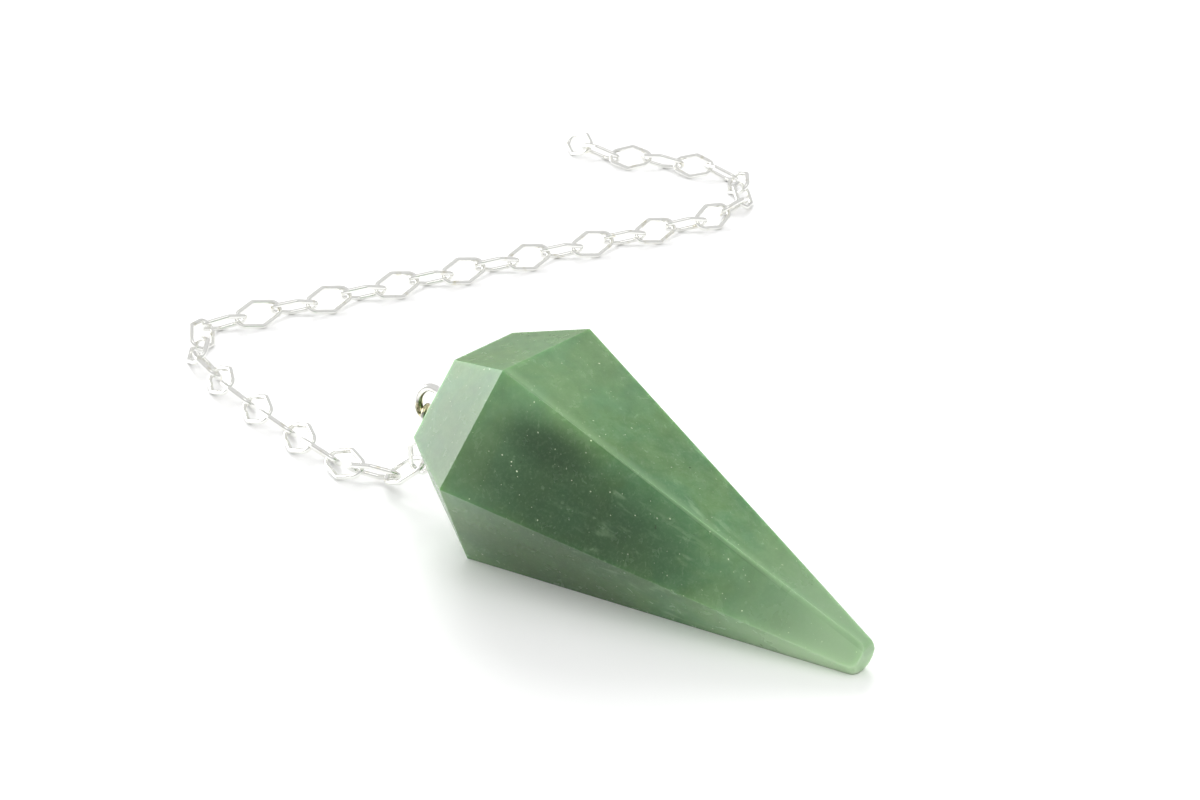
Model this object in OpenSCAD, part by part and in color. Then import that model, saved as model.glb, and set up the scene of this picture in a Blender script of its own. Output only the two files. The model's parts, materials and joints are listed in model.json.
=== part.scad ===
// A faceted stone pendulum lying on a table: the stone on one of its long flats, a wire eye pin
// set in its top, and a loose chain of lozenge links laid out behind it to its free end.
// Millimetres, +Z up, the table at z = 0, the origin under the middle of the whole thing.

/* [Stone] */
// Distance across opposite corners at the widest ring
stone_w = 20.6; // [16:0.1:26]
// Length from the small end flat to the widest ring
point_l = 33.2; // [26:0.1:42]
// Length of the crown, from the widest ring to the flat top
crown_h = 6.0; // [4:0.1:8]
// Distance across opposite corners of the flat top
top_w = 13.7; // [9:0.1:15.5]
// Distance across opposite corners of the small flat that ends the point
tip_w = 2.9; // [2:0.1:5]
// Heading of the stone on the table, seen from above, from its tip to its top
stone_heading = 140.4; // [135:0.1:146]

/* [Eye pin] */
// Diameter of the pin's wire
pin_d = 0.7; // [0.5:0.05:0.9]
// Outer diameter of the loop
loop_od = 3.2; // [3:0.1:4]
// Length of straight shank between the top of the stone and the loop
shank_l = 3.6; // [3:0.1:5]
// How far off the stone's axis the pin is set, towards the near side
pin_off = 0.45; // [0:0.05:0.8]
// Depth to which the pin is set in the stone
set_depth = 5.0; // [3:0.1:8]
// Roll of the loop about the shank, from straight down towards the near side
loop_roll = 15; // [0:1:30]
// Glue line round the pin in its hole
glue_gap = 0.05; // [0.03:0.01:0.1]
// Gap left where the loop closes on the shank
closing_gap = 0.12; // [0.08:0.01:0.3]

/* [Chain] */
// Number of links
link_count = 39; // [12:1:45]
// Outer length of a link
link_l = 4.9; // [4.7:0.05:5.3]
// Outer width of a link
link_w = 3.0; // [2.6:0.05:3.2]
// Diameter of the link wire
link_d = 0.45; // [0.4:0.05:0.5]
// Radius of the round ends of a link, at the middle of the wire
end_r = 0.8; // [0.7:0.01:0.85]
// Radius of the corners at the sides of a link, at the middle of the wire
side_r = 0.35; // [0.3:0.01:0.5]
// How much closer the joints of the loose chain are than those of a chain pulled tight
slack = 0.4; // [0.3:0.05:0.5]
// How much closer still they are where the chain is pushed together, next to the stone
crumple = 0.4; // [0:0.05:0.5]
// Side step of the joints to either side of the route
zigzag = 0.2; // [0:0.01:0.25]
// Lean of each link from upright, left and right in turn
lean = 45; // [40:1:50]

/* [Hidden] */
$fn = 48;

// Bent wire is drawn a hair thinner than the straight wire, which laps over its ends
draw_down = 0.01;
lap = 0.03;

// Half widths across the flats of the stone, at its ring, its top and its end
flats = cos(30);
ring_r = stone_w / 2 * flats;
top_r = top_w / 2 * flats;
tip_r = tip_w / 2 * flats;
stone_l = point_l + crown_h;

// The six flats: the way each one faces round the stone from its near side, and its distance
// from the axis at the small end as a share of tip_r. The near one is ground deeper there.
facing = 0;
end_share = 1;
FLATS = [
    [30, 0.62],
    [90, 1.00],
    [150, 1.00],
    [210, 1.00],
    [270, 1.00],
    [330, 1.00],
];
lowest_flat = 4;

// The stone's tilt when its lowest flat lies on the table, and the height of its small end then
rest_tilt = atan((ring_r - tip_r * FLATS[lowest_flat][end_share]) / point_l);
tip_z = tip_r * FLATS[lowest_flat][end_share] * cos(rest_tilt);

// Eye pin: the wire's middle line in the loop, how far round the loop goes before it closes, and
// the way from the end of the shank to the loop's bottom
loop_r = (loop_od - pin_d) / 2;
loop_turn = 360 - acos(1 - (pin_d + closing_gap) / loop_r);
loop_dir = [sin(loop_roll), -cos(loop_roll), 0];

// Where the bottom of the loop hangs over the table. The chain starts there, and the stone lies
// in front of it.
loop_x = -5.251;
loop_y = -29.916;

// Link outline, as two pairs of round corners joined by straight flanks
half_l = (link_l - link_d) / 2;
half_w = (link_w - link_d) / 2;
end_c = half_l - end_r;
side_c = half_w - side_r;
flank_dir = acos((side_r - end_r) / norm([end_c, side_c])) - atan2(side_c, end_c);
flank_l = norm([end_c + (end_r - side_r) * cos(flank_dir), (end_r - side_r) * sin(flank_dir) - side_c]);

// Spacing of the joints, and the height of a link's middle when both flanks of the chain lie down
pitch = 2 * half_l - link_d - slack;
pushed_links = [1, 5];
function pitch_at(k) = pitch - (k >= pushed_links[0] && k <= pushed_links[1] ? crumple : 0);
overlap = 2 * half_l - pitch;
rest_z = half_w * cos(lean) + link_d / 2;

// Route of the chain on the table, chosen point by point after the way it lies. It starts where
// the first link hangs in the eye pin, and the heights are in shares of rest_z.
ROUTE = [
    [-5.2, -28.9, 4.9],
    [-5.7, -27.6, 2.9],
    [-7.3, -26.2, 1.2],
    [-11.5, -24.8, 1],
    [-14.5, -21.6, 1],
    [-17.9, -17.0, 1],
    [-21.7, -11.8, 1],
    [-25.3, -6.2, 1],
    [-27.4, -1.6, 1],
    [-28.5, 2.4, 1],
    [-27.5, 5.6, 1],
    [-24.1, 7.8, 1],
    [-18.3, 10.8, 1],
    [-11.1, 15.0, 1],
    [1.2, 22.0, 1],
    [13.8, 29.1, 1],
    [20.5, 33.0, 1],
    [23.3, 37.2, 1],
    [23.9, 42.0, 1],
    [21.9, 46.2, 1],
    [17.7, 48.8, 1],
    [12.7, 50.4, 1],
    [8.9, 51.6, 1],
    [6.7, 54.2, 1],
    [4.7, 58.2, 1],
];

SILVER = [0.85, 0.86, 0.87];
GREEN = [0.36, 0.55, 0.40];

// The rough stone before its flats are ground, the block that grinds one, and how far the drill
// starts above the top
rough_w = 1.2 * stone_w;
grinder = 4 * stone_w;
drill_run = 1;

function unit(v) = v / norm(v);
function turn_z(v, a) = [v.x * cos(a) - v.y * sin(a), v.x * sin(a) + v.y * cos(a), v.z];

// From the stone's own frame, x to the near side, y up and z from tip to top, to that of the
// table, as seen from the small end
function laid(v) =
    turn_z([v.z * cos(rest_tilt) - v.y * sin(rest_tilt), v.x,
            v.z * sin(rest_tilt) + v.y * cos(rest_tilt)], stone_heading);

// Bottom of the pin's loop as seen from the small end, the small end's own place, and the joint
// just above the loop's bottom, where the first link hangs
from_tip = laid([pin_off, 0, stone_l + shank_l] + 2 * loop_r * loop_dir);
tip_at = [loop_x - from_tip.x, loop_y - from_tip.y, tip_z];
hang_at = tip_at + from_tip + [0, 0, overlap / 2];

// Corner cutting turns the few chosen points into a smooth route
smoothing = 4;
function cut_corners(p, times) =
    times == 0 ? p :
    cut_corners(concat(
        [p[0]],
        [for (i = [0:len(p) - 2]) each [p[i] * 0.75 + p[i + 1] * 0.25, p[i] * 0.25 + p[i + 1] * 0.75]],
        [p[len(p) - 1]]), times - 1);

// The route as heights in millimetres, with the straight way on that a longer chain takes
run_on = 60;
laid_route = [for (p = ROUTE) [p.x, p.y, p.z * rest_z]];
last = len(ROUTE) - 1;
way_on = laid_route[last] + run_on * unit(laid_route[last] - laid_route[last - 1]);
path = cut_corners(concat([hang_at], laid_route, [way_on]), smoothing);

// Two rails beside the path, along the lean of every second link: the joints alternate between them
function way(i) = unit(path[min(i + 1, len(path) - 1)] - path[max(i - 1, 0)]);
function left_of(u) = unit(cross([0, 0, 1], u));
function above(u) = cross(u, left_of(u));
function rail(s) = [
    for (i = [0:len(path) - 1])
    let (u = way(i), flat = 1 - abs(u.z))
    path[i] + s * zigzag * flat * unit(above(u) + left_of(u))
];
rails = [rail(-1), rail(1)];

// Point of the segment a-b at distance r from c, on its far side
function on_segment(a, b, c, r) =
    let (d = unit(b - a), t = (c - a) * d, h2 = (a - c) * (a - c) - t * t)
    a + d * (t + sqrt(max(0, r * r - h2)));

// The next joint: the first place on the other rail that is one pitch away, as [segment, point]
function next_on(other, from, i, far) =
    norm(other[i + 1] - from) >= far ? [i, on_segment(other[i], other[i + 1], from, far)] :
    next_on(other, from, i + 1, far);

steps = [
    for (k = 0, at = [0, hang_at]; k <= link_count;
         at = next_on(rails[k % 2], at[1], at[0], pitch_at(k)), k = k + 1)
    at
];
joints = [for (s = steps) s[1]];

// Roll of a link about its length: left and right in turn, less the twist that each link which
// hangs between the eye pin and the table has
HANG_TWISTS = [8, 40, 16];
hanging_links = len(HANG_TWISTS);
function roll(k) = (k % 2 == 0 ? -lean : lean) - (k < hanging_links ? HANG_TWISTS[k] : 0);

// Level direction to the left of a link, taken further ahead where the chain hangs steeply
function ahead(k) = k < hanging_links ? hanging_links : 1;
function side(k) = left_of(joints[min(link_count, k + ahead(k))] - joints[k]);

function link_name(k) = str("chain_link_", k < 9 ? "0" : "", k + 1);

// Puts a piece made in the stone's own frame on the table
module lay_down() {
    translate(tip_at)
        rotate([0, 0, stone_heading])
            rotate([0, -rest_tilt, 0])
                rotate([90, 0, 90])
                    children();
}

// Takes away what lies outside one flat, which runs from r1 at height z1 to r2 at height z2
module grind(dir, r1, z1, r2, z2) {
    rotate([0, 0, dir])
        translate([r1, 0, z1])
            rotate([0, atan2(r2 - r1, z2 - z1), 0])
                translate([0, -grinder / 2, -grinder / 2])
                    cube(grinder);
}

module stone() {
    color(GREEN)
        lay_down()
            difference() {
                cylinder(d = rough_w, h = stone_l, $fn = 6);
                for (f = FLATS) {
                    grind(f[facing], tip_r * f[end_share], 0, ring_r, point_l);
                    grind(f[facing], ring_r, point_l, top_r, stone_l);
                }
                translate([pin_off, 0, stone_l - set_depth])
                    cylinder(d = pin_d + 2 * glue_gap, h = set_depth + drill_run);
            }
}

module eye_pin() {
    color(SILVER)
        lay_down()
            translate([pin_off, 0, 0])
                rotate([0, 0, loop_roll])
                    union() {
                        translate([0, 0, stone_l - set_depth + glue_gap])
                            cylinder(d = pin_d, h = set_depth - glue_gap + shank_l + lap);
                        translate([0, -loop_r, stone_l + shank_l])
                            rotate([90, 0, 90])
                                rotate_extrude(angle = loop_turn)
                                    translate([loop_r, 0])
                                        circle(d = pin_d - draw_down);
                    }
}

// A round corner of the link wire, centred on the line through its middle
module wire_corner(r, half_angle) {
    rotate([0, 0, -half_angle])
        rotate_extrude(angle = 2 * half_angle)
            translate([r, 0])
                circle(d = link_d - draw_down);
}

// One link, its length along x and its width along y
module link_ring() {
    union() {
        for (s = [0, 180]) {
            rotate([0, 0, s])
                translate([end_c, 0, 0])
                    wire_corner(end_r, flank_dir);
            rotate([0, 0, 90 + s])
                translate([side_c, 0, 0])
                    wire_corner(side_r, 90 - flank_dir);
            for (m = [-1, 1])
                rotate([0, 0, s])
                    translate([end_c + end_r * cos(flank_dir), m * end_r * sin(flank_dir), 0])
                        rotate([0, 0, m * flank_dir])
                            rotate([-90 * m, 0, 0])
                                translate([0, 0, -lap])
                                    cylinder(d = link_d, h = flank_l + 2 * lap);
        }
    }
}

module chain_link(k) {
    a = joints[k];
    b = joints[k + 1];
    u = unit(b - a);
    up = unit(cross(u, side(k)));
    w = cos(roll(k)) * up + sin(roll(k)) * cross(up, u);
    n = cross(u, w);
    mid = (a + b) / 2;
    color(SILVER)
        multmatrix([
            [u.x, w.x, n.x, mid.x],
            [u.y, w.y, n.y, mid.y],
            [u.z, w.z, n.z, mid.z],
            [0, 0, 0, 1]])
            link_ring();
}

stone();
eye_pin();
for (k = [0:link_count - 1])
    chain_link(k);
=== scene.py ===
"""The looks of a faceted stone pendulum on its chain: green aventurine, silver wire, white table.

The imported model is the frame. The stone's piece is made from its node, with ground edges, and the
pin and the links keep their nodes. Metres, +Z up, in the part's own frame.
"""

import json
import math

import bmesh
import bpy
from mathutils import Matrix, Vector, noise

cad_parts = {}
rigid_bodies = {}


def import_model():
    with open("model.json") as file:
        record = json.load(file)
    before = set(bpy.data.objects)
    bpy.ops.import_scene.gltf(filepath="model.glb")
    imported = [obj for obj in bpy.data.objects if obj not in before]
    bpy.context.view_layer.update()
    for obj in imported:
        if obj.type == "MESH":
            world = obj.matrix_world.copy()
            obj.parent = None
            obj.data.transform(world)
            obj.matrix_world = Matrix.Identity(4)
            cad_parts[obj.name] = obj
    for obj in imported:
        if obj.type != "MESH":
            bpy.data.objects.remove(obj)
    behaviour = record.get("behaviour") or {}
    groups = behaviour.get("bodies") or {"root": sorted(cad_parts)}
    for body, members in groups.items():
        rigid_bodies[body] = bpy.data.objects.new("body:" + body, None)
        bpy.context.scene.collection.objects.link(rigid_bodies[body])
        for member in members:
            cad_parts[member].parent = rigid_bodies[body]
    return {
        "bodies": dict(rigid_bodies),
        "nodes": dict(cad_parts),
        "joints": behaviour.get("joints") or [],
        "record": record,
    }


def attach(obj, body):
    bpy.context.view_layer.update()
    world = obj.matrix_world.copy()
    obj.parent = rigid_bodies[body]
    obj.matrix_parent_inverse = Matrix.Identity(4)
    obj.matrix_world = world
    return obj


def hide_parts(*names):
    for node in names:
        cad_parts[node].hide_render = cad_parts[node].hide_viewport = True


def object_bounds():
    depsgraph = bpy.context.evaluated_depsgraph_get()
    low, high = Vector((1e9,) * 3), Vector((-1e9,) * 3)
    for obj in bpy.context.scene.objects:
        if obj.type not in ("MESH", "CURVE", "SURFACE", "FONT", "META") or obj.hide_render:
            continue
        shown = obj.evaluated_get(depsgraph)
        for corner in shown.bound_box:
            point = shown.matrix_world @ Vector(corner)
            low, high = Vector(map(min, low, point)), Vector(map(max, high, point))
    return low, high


MM = 0.001

# The stone as it lies: the heading of its axis on the table, from tip to top, and its tilt
STONE_HEADING = math.radians(140.4)
STONE_TILT = math.radians(13.1)
STONE_AXIS = Vector(
    (
        math.cos(STONE_HEADING) * math.cos(STONE_TILT),
        math.sin(STONE_HEADING) * math.cos(STONE_TILT),
        math.sin(STONE_TILT),
    )
)

# Seen along the axis, the near ridge of the top flat leans this far from the upright
RIDGE_LEAN = math.radians(30.0)
# Corners this close to the lowest one along the axis are those of the small end flat, in millimetres
END_WITHIN = 0.01

# The camera, fitted to the photograph
CAMERA_AT = Vector((8.7, -238.16, 106.52)) * MM
CAMERA_LOOKS_AT = Vector((8.7, -8.4, 0.0)) * MM
LENS_MM = 86.15
SENSOR_MM = 36.0

# Where the crown begins and the flat top is, in millimetres from the tip, and how wide the
# painted highlight band beside the ridge is
CROWN_AT = 33.2
TOP_AT = 39.2
RIDGE_HIGHLIGHT_WIDTH = 1.05

# The colours of the stone
BLUE_GREEN = (0.106, 0.250, 0.107, 1)
LEAF_GREEN = (0.130, 0.260, 0.097, 1)
# The tip's painted glow, for the light through the thin stone
TIP_GLOW_GREEN = (0.262, 0.402, 0.232, 1)
PALE_GREEN = (0.480, 0.660, 0.410, 1)
DARK_GREEN = (0.012, 0.048, 0.012, 1)
MOSS_GREEN = (0.026, 0.068, 0.010, 1)
OLIVE = (0.098, 0.192, 0.045, 1)
# Pale flakes with their sparkle painted in as glints
FLAKE_GLINT_WHITE = (0.82, 0.90, 0.66, 1)
SPECK_DARK = (0.03, 0.05, 0.02, 1)

# Painted shade in the stone, for less light through its thick middle and the shade on the flat
# facing the near side, in millimetres in its own frame (x from the tip, y to the near side):
# middle, half sizes, strength and colour
PAINTED_SHADE_PARTS = (
    ((23.5, 6.5, 1.9), (17.0, 8.5, 6.6), 0.80, DARK_GREEN),
    ((26.0, 5.0, -4.5), (14.0, 13.0, 6.5), 0.80, MOSS_GREEN),
    ((27.0, 6.0, 5.5), (6.5, 3.0, 2.6), 0.80, DARK_GREEN),
)

# The bright flakes in the stone, real flakes with their sparkle painted as glints, as (where
# their pattern starts, how many a millimetre, size in millimetres, share of them that shows,
# strongest), and the dark specks in the same way, all of one strength
GLINTS = (
    ((0, 0, 0), 2.4, 0.11, 0.32, 0.6),
    ((4, 8, 1), 1.3, 0.15, 0.50, 0.9),
)
SPECKS = ((7, 3, 5), 0.7, 0.20, 0.18, 0.70)

# The ground edges, in millimetres: how wide they are along the flats and round the small flat at
# the tip, and how far from the tip the wide ones go
SIDE_EDGE = 0.11
TIP_EDGE = 0.50
TIP_EDGE_REACH = 1.5
# By what share the narrow ones vary, in pieces of what length and over what distance, and how many
# faces go round an edge
EDGE_VARIES = 0.55
EDGE_STEP = 0.9
EDGE_WAVE = 2.1
EDGE_ROUNDS = 4

# What counts in the node's mesh as one point, in millimetres, and as one flat, and from what angle
# and length in millimetres on an edge is ground
ONE_POINT = 0.002
ONE_FLAT = math.radians(1.0)
EDGE_ANGLE = math.radians(8.0)
EDGE_LENGTH = 1.0

# The rounding of the tip: how far it reaches, how close to that limit a point counts as on it and
# how fine the mesh is, in millimetres, how often that mesh is cut, and how often it is smoothed
TIP_ROUND = 6.0
ON_LIMIT = 0.001
TIP_MESH = 0.20
TIP_CUTS = 5
TIP_PASSES = 60
# How much of a smoothing step is taken, by what share it is less along the axis, and the least
# share of the rounding that still moves a point
TIP_PULL = 0.5
TIP_HOLD = 0.6
TIP_LEAST = 0.01

# The colours of the wire: its plate and tarnish, and the brass under it, clean and darkened
# by painted shade and the green stone's painted reflection
PLATE = (0.90, 0.90, 0.87, 1)
TARNISH = (0.72, 0.69, 0.56, 1)
BRASS = (0.76, 0.70, 0.44, 1)
# Dark olive brass: painted shade and the green stone's painted reflection
BRASS_SHADE_AND_REFLECTION = (0.12, 0.12, 0.05, 1)

# Where the first link rubs in the pin's loop, and how far from there the brass is fully bare and
# where it ends, in millimetres
RUBBED_AT = (-5.3, -29.8, 9.1)
BARE_WITHIN = 0.65
RUBBED_WITHIN = 1.15

# Light: the sun-like lamps stand for large soft boxes, as (heading from the back, height, how wide
# they look, strength), in degrees
LAMPS = {
    "back_box": (-5.0, 31.0, 40.0, 2.1),
    "front_fill": (175.0, 50.0, 70.0, 0.95),
}

# How bright the white room is: low down all round, at its walls, overhead and on the near side
HORIZON = 0.72
WALLS = 0.95
OVERHEAD = 0.95
NEAR_SIDE = 0.80
# Between which values of the view's direction each of the last three takes over: its z for the
# walls and overhead, its y for the near side
WALLS_BETWEEN = (0.05, 0.45)
OVERHEAD_BETWEEN = (0.55, 0.85)
NEAR_SIDE_BETWEEN = (-0.05, -0.75)
# Panels brighter than the room, as (heading, height, inner and outer half width, extra brightness)
PANELS = {
    "left_panel": (-62.0, 12.0, 10.0, 24.0, 4.7),
    "top_panel": (165.0, 68.0, 8.0, 24.0, 0.8),
}

# The width of the table, in metres
FLOOR_SIZE = 6.0


def load_frame():
    """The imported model, and the box that the visual model has to keep inside."""
    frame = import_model()
    return frame, [list(corner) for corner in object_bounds()]


def make_camera():
    data = bpy.data.cameras.new("camera")
    data.lens = LENS_MM
    data.sensor_width = SENSOR_MM
    data.clip_start = 0.01
    data.clip_end = 20.0
    camera = bpy.data.objects.new("camera", data)
    camera.location = CAMERA_AT
    camera.rotation_mode = "QUATERNION"
    camera.rotation_quaternion = (CAMERA_LOOKS_AT - CAMERA_AT).to_track_quat("-Z", "Y")
    bpy.context.scene.collection.objects.link(camera)
    bpy.context.scene.camera = camera


class Nodes:
    """A short way to write a material's node tree."""

    def __init__(self, tree):
        self.tree = tree
        tree.nodes.clear()

    def add(self, kind, inputs=None, **settings):
        node = self.tree.nodes.new(kind)
        for name, value in settings.items():
            setattr(node, name, value)
        for name, value in (inputs or {}).items():
            self.set(node.inputs[name], value)
        return node

    def set(self, socket, value):
        if isinstance(value, bpy.types.NodeSocket):
            self.tree.links.new(value, socket)
        elif isinstance(value, bpy.types.Node):
            self.tree.links.new(value.outputs[0], socket)
        else:
            socket.default_value = value

    def math(self, operation, a, b):
        return self.add("ShaderNodeMath", {0: a, 1: b}, operation=operation).outputs[0]

    def times(self, product, *factors):
        """All the values multiplied together."""
        for factor in factors:
            product = self.math("MULTIPLY", product, factor)
        return product

    def mix(self, share, a, b):
        """Colour a, turning into b as share goes from 0 to 1."""
        inputs = {"Factor": share, 6: a, 7: b}
        return self.add("ShaderNodeMix", inputs, data_type="RGBA").outputs[2]

    def ramp(self, value, low, high, start, end):
        """From start to end as value goes from low to high."""
        inputs = {
            "Value": value,
            "From Min": low,
            "From Max": high,
            "To Min": start,
            "To Max": end,
        }
        node = self.add("ShaderNodeMapRange", inputs, interpolation_type="SMOOTHSTEP")
        return node.outputs["Result"]

    def step(self, value, low, high):
        """0 below low and 1 above high. With low over high it falls instead."""
        return self.ramp(value, low, high, 0.0, 1.0)

    def noise(self, vector, scale, detail=3.0, roughness=0.5, distortion=0.0):
        inputs = {
            "Vector": vector,
            "Scale": scale,
            "Detail": detail,
            "Roughness": roughness,
            "Distortion": distortion,
        }
        return self.add("ShaderNodeTexNoise", inputs).outputs["Fac"]

    def centred(self, value, size):
        """The same small step along all three axes, from -size/2 to size/2."""
        step = self.times(self.math("SUBTRACT", value, 0.5), size)
        return self.add("ShaderNodeCombineXYZ", {"X": step, "Y": step, "Z": step}).outputs[0]

    def scaled(self, vector, scale, location=(0, 0, 0)):
        inputs = {"Vector": vector, "Location": location, "Scale": scale}
        return self.add("ShaderNodeMapping", inputs).outputs[0]

    def moved(self, vector, location):
        return self.scaled(vector, (1, 1, 1), location)


def new_material(name):
    material = bpy.data.materials.new(name)
    material.use_nodes = True
    return material, Nodes(material.node_tree)


def flakes(n, stone_mm, per_mm, size_mm, share):
    """Small flakes scattered through the stone: 1 on a flake, and each flake's own random value."""
    # A noise finer than the flakes bends their round outlines
    bent = n.noise(stone_mm, 3.0 * per_mm, 1.0)
    place = n.add("ShaderNodeVectorMath", {0: stone_mm, 1: n.centred(bent, 0.30 / per_mm)})
    cells = n.add(
        "ShaderNodeTexVoronoi", {"Vector": place, "Scale": per_mm, "Randomness": 1.0}
    )
    chosen = n.add("ShaderNodeSeparateColor", {"Color": cells.outputs["Color"]})
    radius = size_mm / 2 * per_mm
    spot = n.step(cells.outputs["Distance"], radius, radius * 0.5)
    picked = n.math("LESS_THAN", chosen.outputs["Red"], share)
    return n.times(spot, picked), chosen.outputs["Green"]


def fibres(n, stone_mm, turn, seed):
    """Short pale dashes, all one way: 1 in the middle of a dash."""
    turned = n.add(
        "ShaderNodeVectorRotate", {"Vector": stone_mm, "Rotation": turn}, rotation_type="EULER_XYZ"
    )
    drawn = n.scaled(turned, (0.7, 3.4, 3.4), (seed, 2 * seed, 3 * seed))
    return n.step(n.noise(drawn, 1.0, 2.0, 0.5, 0.4), 0.62, 0.80)


def tip_of(cad_stone):
    """The middle of the small flat that ends the stone's point."""
    corners = [v.co for v in cad_stone.data.vertices]
    lowest = min(c.dot(STONE_AXIS) for c in corners)
    end = [c for c in corners if c.dot(STONE_AXIS) - lowest < END_WITHIN * MM]
    return sum(end, Vector()) / len(end)


def stone_place(n, tip):
    """Millimetres in the stone's own frame: x from the tip along its axis to its top."""
    place = n.add("ShaderNodeTexCoord").outputs["Object"]
    from_tip = n.add("ShaderNodeVectorMath", {0: place, 1: tip}, operation="SUBTRACT")
    turned = n.add(
        "ShaderNodeVectorRotate",
        {"Vector": from_tip, "Angle": -STONE_HEADING},
        rotation_type="Z_AXIS",
    )
    level = n.add(
        "ShaderNodeVectorRotate", {"Vector": turned, "Angle": STONE_TILT}, rotation_type="Y_AXIS"
    )
    return n.scaled(level, (1 / MM,) * 3)


class StoneField:
    """Places in the stone, in millimetres in its own frame, and the noises its colours share."""

    def __init__(self, n, tip):
        self.place = stone_place(n, tip)
        axes = n.add("ShaderNodeSeparateXYZ", {"Vector": self.place}).outputs
        self.along = axes["X"]
        self.nearness = axes["Y"]
        self.height = axes["Z"]
        self.cloud = n.noise(self.place, 0.13, 2.0, 0.5, 0.4)
        self.patch = n.noise(n.moved(self.place, (31, 17, 5)), 0.22, 3.0, 0.55, 0.5)
        self.mottle = n.noise(self.place, 0.8, 4.0, 0.55, 0.4)
        self.grain = n.noise(self.place, 4.0, 2.0, 0.6)


def cloudy_green(n, field):
    """Two greens in patches with dark and pale clouds, paler at the shoulder, with a painted
    glow at the tip and painted light from the table under it.
    """
    colour = n.mix(n.step(field.patch, 0.35, 0.65), BLUE_GREEN, LEAF_GREEN)
    colour = n.mix(n.ramp(field.cloud, 0.40, 0.62, 0.16, 0.0), colour, DARK_GREEN)
    colour = n.mix(n.ramp(field.mottle, 0.42, 0.72, 0.0, 0.09), colour, PALE_GREEN)
    colour = n.mix(n.ramp(field.mottle, 0.50, 0.28, 0.0, 0.14), colour, DARK_GREEN)
    # Painted glow at the tip, for the light through the thin stone
    colour = n.mix(n.step(field.along, 15.0, 1.0), colour, TIP_GLOW_GREEN)
    shoulder = n.times(n.step(field.along, 23.0, 31.0), n.step(field.along, 35.0, 32.0))
    colour = n.mix(n.times(shoulder, 0.11), colour, PALE_GREEN)
    # Painted light on the underside near the tip, for the light the white table throws up
    low = n.times(n.step(field.height, 0.8, -1.6), n.ramp(field.along, 15.0, 2.0, 0.0, 0.65))
    return n.mix(low, colour, PALE_GREEN)


def painted_shade_inside(n, field, colour):
    """Painted shade inside each of the shaded parts, most at its middle."""
    for middle, half, strength, shade in PAINTED_SHADE_PARTS:
        offset = n.add("ShaderNodeVectorMath", {0: field.place, 1: middle}, operation="SUBTRACT")
        spread = n.scaled(offset, tuple(1 / r for r in half))
        away = n.add("ShaderNodeVectorMath", {0: spread}, operation="LENGTH").outputs["Value"]
        colour = n.mix(n.ramp(away, 1.0, 0.2, 0.0, strength), colour, shade)
    return colour


def wisps_and_dashes(n, field, colour):
    """Pale wisps along the middle of the stone, short dashes, and a fine grain."""
    streak = n.noise(n.scaled(field.place, (0.16, 1.1, 1.1), (5, 2, 8)), 1.0, 3.0, 0.55, 0.3)
    wisps = n.times(
        n.step(streak, 0.54, 0.74),
        n.step(field.patch, 0.56, 0.44),
        n.step(field.along, 28.0, 18.0),
        n.step(field.along, 6.0, 12.0),
    )
    colour = n.mix(n.times(wisps, 0.26), colour, PALE_GREEN)
    dashes = n.math(
        "MAXIMUM",
        fibres(n, field.place, (0.3, 0.5, 0.9), 3),
        fibres(n, field.place, (0.9, 2.1, 0.2), 9),
    )
    colour = n.mix(n.times(dashes, n.ramp(field.along, 6.0, 14.0, 0.0, 0.12)), colour, PALE_GREEN)
    return n.mix(n.ramp(field.grain, 0.45, 0.75, 0.0, 0.05), colour, PALE_GREEN)


def flake_glints_and_specks(n, field, colour):
    """Bright flakes of two sizes with their glints painted, each as bright as its own random
    value, and dark specks.
    """
    for start, per_mm, size_mm, share, most in GLINTS:
        bright, own = flakes(n, n.moved(field.place, start), per_mm, size_mm, share)
        glint = n.times(bright, n.ramp(own, 0.1, 1.0, 0.15, most))
        colour = n.mix(glint, colour, FLAKE_GLINT_WHITE)
    start, per_mm, size_mm, share, strength = SPECKS
    specks, _ = flakes(n, n.moved(field.place, start), per_mm, size_mm, share)
    return n.mix(n.times(specks, strength), colour, SPECK_DARK)


def upper_flats(n, field):
    """Millimetres inward from the ridge on the near side of the upper flats, and 1 on those flats."""
    ridge = n.times(field.height, math.tan(RIDGE_LEAN))
    inward = n.math("SUBTRACT", ridge, field.nearness)
    return inward, n.times(n.step(inward, -0.08, 0.0), n.step(field.height, 0.0, 0.5))


def ridge_light_and_crown(n, field, colour):
    """A painted highlight as a pale wavy band and a painted shade as a thin dark line at the
    ridge, a painted glow at the tip, and olive on the crown.
    """
    inward, on_top = upper_flats(n, field)
    below_crown = n.step(field.along, CROWN_AT + 0.1, CROWN_AT - 0.1)
    # Painted highlight: a pale wavy band beside the near ridge
    wavy = n.math("ADD", inward, n.ramp(field.mottle, 0.3, 0.7, -0.15, 0.15))
    ridge_highlight = n.times(n.step(wavy, RIDGE_HIGHLIGHT_WIDTH, 0.1), on_top, below_crown)
    colour = n.mix(n.times(ridge_highlight, n.ramp(field.along, 2.0, 12.0, 0.08, 0.22)), colour, PALE_GREEN)
    # Painted shade: a thin dark line on the ridge that dims its highlight
    ridge_shade = n.times(
        n.step(inward, -0.16, -0.04),
        n.step(inward, 0.20, 0.05),
        n.ramp(field.along, 4.0, 10.0, 0.0, 0.20),
        n.step(field.height, 0.0, 0.5),
        below_crown,
    )
    colour = n.mix(ridge_shade, colour, DARK_GREEN)
    # The other flats painted paler near the tip: a painted glow for the light through the thin stone
    other_flats = n.math("SUBTRACT", 1.0, on_top)
    tip_glow = n.times(other_flats, n.ramp(field.along, 7.0, 1.0, 0.0, 0.30))
    colour = n.mix(tip_glow, colour, PALE_GREEN)
    below_top = n.step(field.along, TOP_AT - 0.05, TOP_AT - 0.15)
    on_crown = n.math("SUBTRACT", below_top, below_crown)
    return n.mix(n.times(on_crown, on_top, 0.45), colour, OLIVE)


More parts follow.
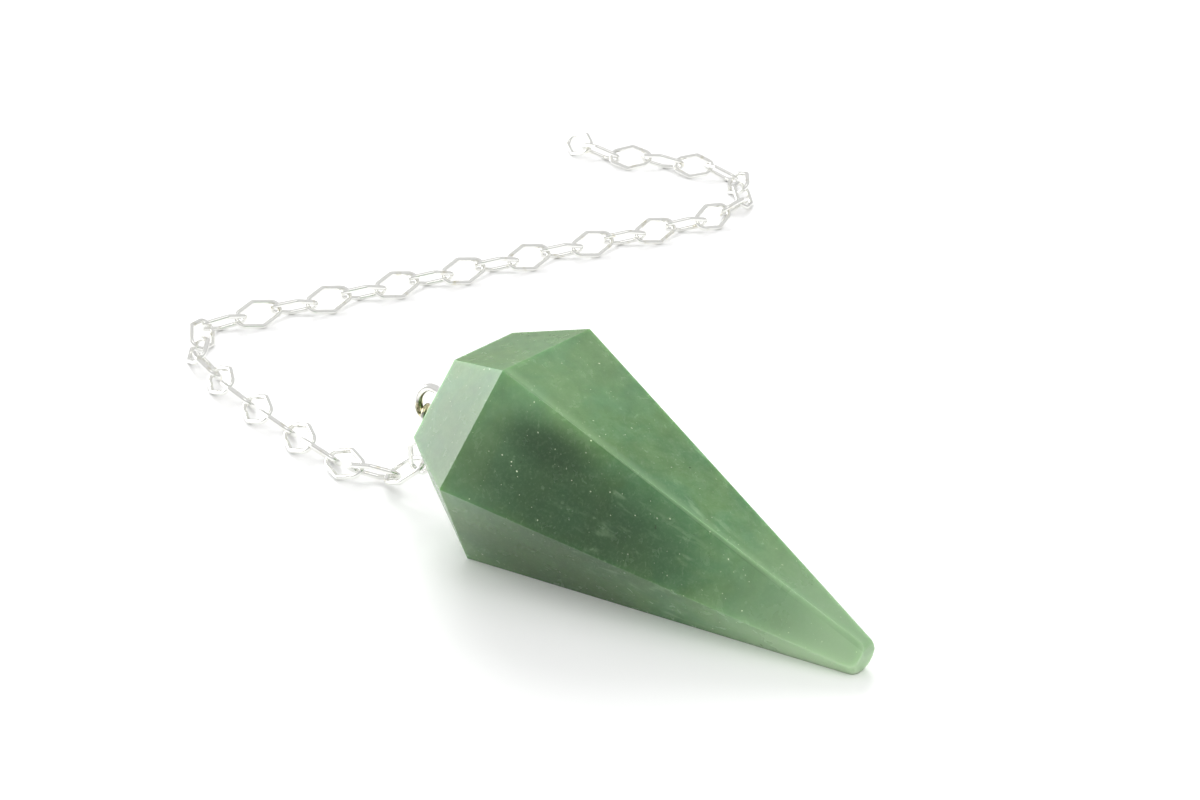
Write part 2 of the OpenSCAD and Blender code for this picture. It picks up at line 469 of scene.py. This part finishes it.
def aventurine(tip):
    """Green quartz: cloudy, with painted shade in the thick part and a painted glow at the tip,
    with wisps, and flakes whose sparkle is painted.
    """
    material, n = new_material("green_aventurine")
    field = StoneField(n, tip)
    colour = cloudy_green(n, field)
    for layer in (painted_shade_inside, wisps_and_dashes, flake_glints_and_specks, ridge_light_and_crown):
        colour = layer(n, field, colour)
    uneven = n.ramp(field.mottle, 0.3, 0.7, 0.20, 0.28)
    dull_tip = n.ramp(field.along, 9.0, 2.0, 0.0, 0.18)
    bump_inputs = {"Strength": 0.10, "Distance": 0.02 * MM, "Height": field.mottle}
    shader = n.add(
        "ShaderNodeBsdfPrincipled",
        {
            "Base Color": colour,
            "Roughness": n.math("ADD", uneven, dull_tip),
            "IOR": 1.55,
            "Subsurface Weight": 1.0,
            "Subsurface Radius": (0.85, 1.0, 0.8),
            "Subsurface Scale": 1.8 * MM,
            "Normal": n.add("ShaderNodeBump", bump_inputs),
        },
    )
    n.add("ShaderNodeOutputMaterial", {"Surface": shader})
    return material


def silver():
    """Silver plate with fine draw lines, a little tarnish, and rubbed through at the pin's loop,
    with painted shade and the stone's painted reflection in blotches there.
    """
    material, n = new_material("silver_plate")
    place = n.add("ShaderNodeTexCoord").outputs["Object"]
    wire_mm = n.scaled(place, (1 / MM,) * 3)
    tarnished = n.step(n.noise(wire_mm, 0.9, 3.0, 0.6), 0.56, 0.78)
    lines = n.noise(wire_mm, 9.0, 2.0, 0.6)
    colour = n.mix(tarnished, PLATE, TARNISH)
    off = n.add("ShaderNodeVectorMath", {0: wire_mm, 1: RUBBED_AT}, operation="DISTANCE")
    # Blotches in the bare brass: painted shade and the green stone's painted reflection
    shade_blotch = n.step(n.noise(wire_mm, 2.2, 3.0, 0.6), 0.42, 0.58)
    bare = n.step(off.outputs["Value"], RUBBED_WITHIN, BARE_WITHIN)
    colour = n.mix(bare, colour, n.mix(shade_blotch, BRASS, BRASS_SHADE_AND_REFLECTION))
    bump = n.add("ShaderNodeBump", {"Strength": 0.15, "Distance": 0.01 * MM, "Height": lines})
    # The draw lines are twice as rough as the wire between them
    roughness = n.times(n.math("ADD", lines, 1.0), 0.125)
    shader = n.add(
        "ShaderNodeBsdfPrincipled",
        {"Base Color": colour, "Metallic": 1.0, "Roughness": roughness, "Normal": bump},
    )
    n.add("ShaderNodeOutputMaterial", {"Surface": shader})
    return material


def white_gloss():
    """The glossy white table."""
    material, n = new_material("white_gloss")
    place = n.add("ShaderNodeTexCoord").outputs["Object"]
    ripple = n.noise(place, 40.0, 2.0)
    bump = n.add("ShaderNodeBump", {"Strength": 0.02, "Distance": 0.1 * MM, "Height": ripple})
    shader = n.add(
        "ShaderNodeBsdfPrincipled",
        {"Base Color": (0.93, 0.93, 0.93, 1), "Roughness": 0.28, "Normal": bump},
    )
    n.add("ShaderNodeOutputMaterial", {"Surface": shader})
    return material


def is_edge_of_flats(edge):
    """Whether two of the stone's flats meet at this edge."""
    return (
        len(edge.link_faces) == 2
        and edge.calc_face_angle(0) > EDGE_ANGLE
        and edge.calc_length() > EDGE_LENGTH * MM
    )


def set_edge_widths(bm):
    """Gives each edge its ground width, as a share of the widest, in short pieces that vary."""
    tip = min(v.co.dot(STONE_AXIS) for v in bm.verts)
    weight = bm.edges.layers.float.new("bevel_weight_edge")
    for edge in [e for e in bm.edges if is_edge_of_flats(e)]:
        reach = max(v.co.dot(STONE_AXIS) for v in edge.verts) - tip
        cuts = max(1, round(edge.calc_length() / (EDGE_STEP * MM))) - 1
        pieces = {edge}
        if cuts:
            split = bmesh.ops.bisect_edges(bm, edges=[edge], cuts=cuts)["geom_split"]
            pieces.update(g for g in split if isinstance(g, bmesh.types.BMEdge))
        for piece in pieces:
            middle = (piece.verts[0].co + piece.verts[1].co) / 2
            varied = SIDE_EDGE * (1 + EDGE_VARIES * noise.noise(middle / (EDGE_WAVE * MM)))
            piece[weight] = 1.0 if reach < TIP_EDGE_REACH * MM else varied / TIP_EDGE


def ground_mesh(cad_stone):
    """The mesh of the stone's node with its edges ground round, a little unevenly."""
    bm = bmesh.new()
    bm.from_mesh(cad_stone.data)
    bmesh.ops.remove_doubles(bm, verts=bm.verts, dist=ONE_POINT * MM)
    bmesh.ops.dissolve_limit(bm, angle_limit=ONE_FLAT, verts=bm.verts, edges=bm.edges)
    set_edge_widths(bm)
    mesh = bpy.data.meshes.new("polished_stone")
    bm.to_mesh(mesh)
    bm.free()

    rough = bpy.data.objects.new("rough_stone", mesh)
    bpy.context.scene.collection.objects.link(rough)
    bevel = rough.modifiers.new("ground_edges", "BEVEL")
    bevel.limit_method = "WEIGHT"
    bevel.width = TIP_EDGE * MM
    bevel.segments = EDGE_ROUNDS
    bpy.context.view_layer.update()
    made = rough.evaluated_get(bpy.context.evaluated_depsgraph_get())
    mesh = bpy.data.meshes.new_from_object(made)
    bpy.data.objects.remove(rough)
    return mesh


def round_tip(mesh):
    """Rounds the long edges near the tip, most at its end, and a little of the small end flat."""
    bm = bmesh.new()
    bm.from_mesh(mesh)
    end = min(v.co.dot(STONE_AXIS) for v in bm.verts)
    bmesh.ops.bisect_plane(
        bm,
        geom=bm.verts[:] + bm.edges[:] + bm.faces[:],
        dist=ON_LIMIT * MM,
        plane_co=STONE_AXIS * (end + TIP_ROUND * MM),
        plane_no=STONE_AXIS,
    )

    def share(v):
        """1 at the end of the tip, falling to 0 where the rounding stops."""
        return max(0.0, 1.0 - (v.co.dot(STONE_AXIS) - end) / (TIP_ROUND * MM))

    def at_tip(piece):
        return max(share(v) for v in piece.verts) > TIP_LEAST

    bmesh.ops.triangulate(bm, faces=[f for f in bm.faces if at_tip(f)])
    for _ in range(TIP_CUTS):
        long_edges = [e for e in bm.edges if at_tip(e) and e.calc_length() > TIP_MESH * MM]
        bmesh.ops.subdivide_edges(bm, edges=long_edges, cuts=1)
        split = [f for f in bm.faces if at_tip(f) and len(f.verts) > 3]
        bmesh.ops.triangulate(bm, faces=split)
    moving = [v for v in bm.verts if share(v) > TIP_LEAST]
    for _ in range(TIP_PASSES):
        steps = []
        for v in moving:
            around = [e.other_vert(v).co for e in v.link_edges]
            step = sum(around, Vector()) / len(around) - v.co
            steps.append(step - STONE_AXIS * step.dot(STONE_AXIS) * TIP_HOLD)
        for v, step in zip(moving, steps):
            v.co += step * TIP_PULL * share(v)
            v.co.z = max(v.co.z, 0.0)
    drop_doubled_faces(bm)
    bm.to_mesh(mesh)
    bm.free()


def drop_doubled_faces(bm):
    """Removes slivers that lie in pairs on the same three corners, where cut edges were rejoined."""
    by_corners = {}
    for face in bm.faces:
        by_corners.setdefault(frozenset(face.verts), []).append(face)
    doubled = [face for faces in by_corners.values() if len(faces) > 1 for face in faces]
    bmesh.ops.delete(bm, geom=doubled, context="FACES")


def polished_stone(cad_stone, material):
    """The stone, made from its own node with ground edges and a rounder tip."""
    mesh = ground_mesh(cad_stone)
    round_tip(mesh)
    mesh.polygons.foreach_set("use_smooth", [True] * len(mesh.polygons))
    stone = bpy.data.objects.new("polished_stone", mesh)
    bpy.context.scene.collection.objects.link(stone)
    # The largest weight there is, so that the flats shade flat right up to their edges
    stone.modifiers.new("flat_flats", "WEIGHTED_NORMAL").weight = 100
    stone.data.materials.clear()
    stone.data.materials.append(material)
    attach(stone, "root")
    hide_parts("stone")


def dress_wire(frame, material):
    """The pin and the links keep their nodes."""
    for name, node in frame["nodes"].items():
        if name == "stone":
            continue
        node.data.materials.clear()
        node.data.materials.append(material)


def make_floor():
    mesh = bpy.data.meshes.new("table")
    half = FLOOR_SIZE / 2
    corners = [(-half, -half, 0), (half, -half, 0), (half, half, 0), (-half, half, 0)]
    mesh.from_pydata(corners, [], [(0, 1, 2, 3)])
    mesh.materials.append(white_gloss())
    floor = bpy.data.objects.new("table", mesh)
    bpy.context.scene.collection.objects.link(floor)


def toward(heading, height):
    """A direction, from its heading (from the back, clockwise from above) and height in degrees."""
    a, e = math.radians(heading), math.radians(height)
    return Vector((math.sin(a) * math.cos(e), math.cos(a) * math.cos(e), math.sin(e)))


def make_lamps():
    """Soft boxes as wide suns. They light the stone and the table but leave no mirror image."""
    for name, (heading, height, width, strength) in LAMPS.items():
        data = bpy.data.lights.new(name, "SUN")
        data.angle = math.radians(width)
        data.energy = strength
        lamp = bpy.data.objects.new(name, data)
        lamp.rotation_mode = "QUATERNION"
        lamp.rotation_quaternion = toward(heading, height).to_track_quat("Z", "Y")
        lamp.visible_glossy = False
        bpy.context.scene.collection.objects.link(lamp)


def make_room():
    """A white room, dimmer low down and on the near side, with its brighter panels."""
    world = bpy.data.worlds.new("white_room")
    world.use_nodes = True
    n = Nodes(world.node_tree)
    way = n.add("ShaderNodeTexCoord").outputs["Generated"]
    parts = n.add("ShaderNodeSeparateXYZ", {"Vector": way}).outputs
    level = n.ramp(parts["Z"], *WALLS_BETWEEN, HORIZON, WALLS)
    near = n.step(parts["Y"], *NEAR_SIDE_BETWEEN)
    level = n.ramp(near, 0.0, 1.0, level, NEAR_SIDE)
    level = n.ramp(parts["Z"], *OVERHEAD_BETWEEN, level, OVERHEAD)
    for heading, height, inner, outer, extra in PANELS.values():
        facing = n.add(
            "ShaderNodeVectorMath", {0: way, 1: toward(heading, height)}, operation="DOT_PRODUCT"
        ).outputs["Value"]
        edges = [math.cos(math.radians(a)) for a in (outer, inner)]
        level = n.math("ADD", level, n.ramp(facing, *edges, 0.0, extra))
    room = n.add("ShaderNodeBackground", {"Strength": level})
    n.add("ShaderNodeOutputWorld", {"Surface": room})
    bpy.context.scene.world = world


def set_picture():
    """White stays white, as in the photograph."""
    bpy.context.scene.view_settings.view_transform = "Standard"
    bpy.context.scene.view_settings.look = "None"


FRAME, CAD_BOX = load_frame()
STONE = FRAME["nodes"]["stone"]
make_camera()
polished_stone(STONE, aventurine(tip_of(STONE)))
dress_wire(FRAME, silver())
make_floor()
make_lamps()
make_room()
set_picture()
